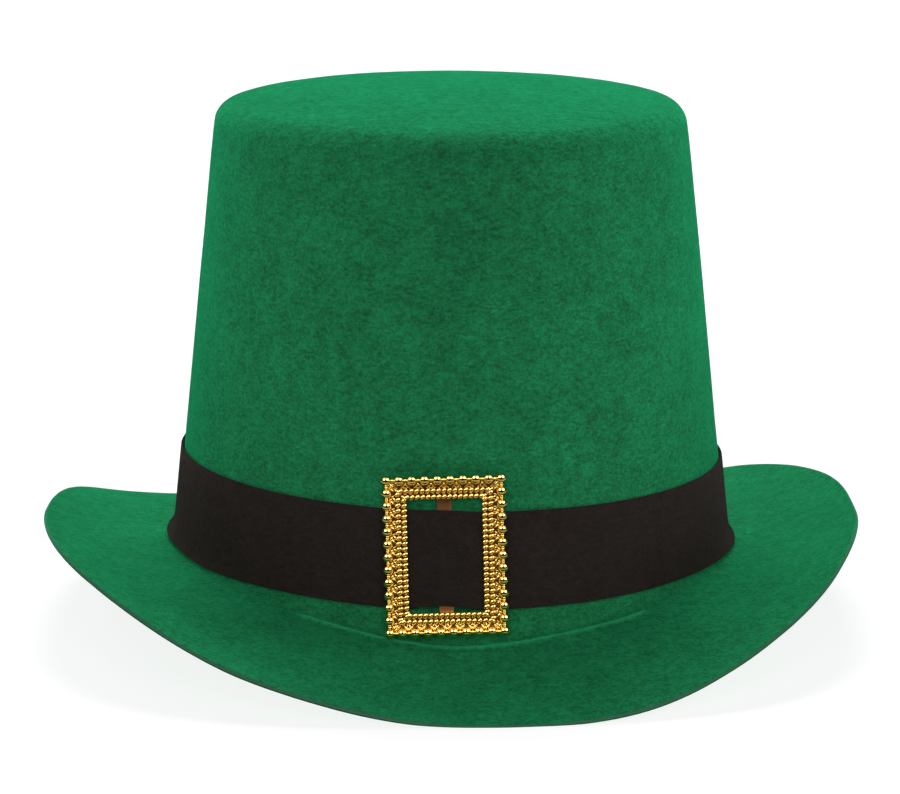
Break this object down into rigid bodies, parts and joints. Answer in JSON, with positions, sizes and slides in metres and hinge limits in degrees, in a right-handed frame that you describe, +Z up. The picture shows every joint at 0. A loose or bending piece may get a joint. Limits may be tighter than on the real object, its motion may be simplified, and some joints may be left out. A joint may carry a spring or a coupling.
{
  "type": "hat",
  "caption": "Leprechaun's green felt top hat with a rolled brim, a black felt band and a beaded gold-coloured buckle.",
  "frame": {"origin": "middle of the bounding box's base: under the middle of the crown, on the plane that the brim rests on", "axes": "+Z up, out of the crown's top; -Y the hat's front, with the buckle; +X the viewer's right"},
  "size_m": [0.2599, 0.299, 0.1715],
  "materials": {
    "green_felt": "moulded wool felt, matt, short nap",
    "black_felt": "black felt strip, matt",
    "gilt": "bright gold-coloured plating on a zinc casting"
  },
  "bodies": {
    "root": {"hat_body": "green_felt", "hat_band": "black_felt", "buckle": "gilt"}
  },
  "joints": []
}
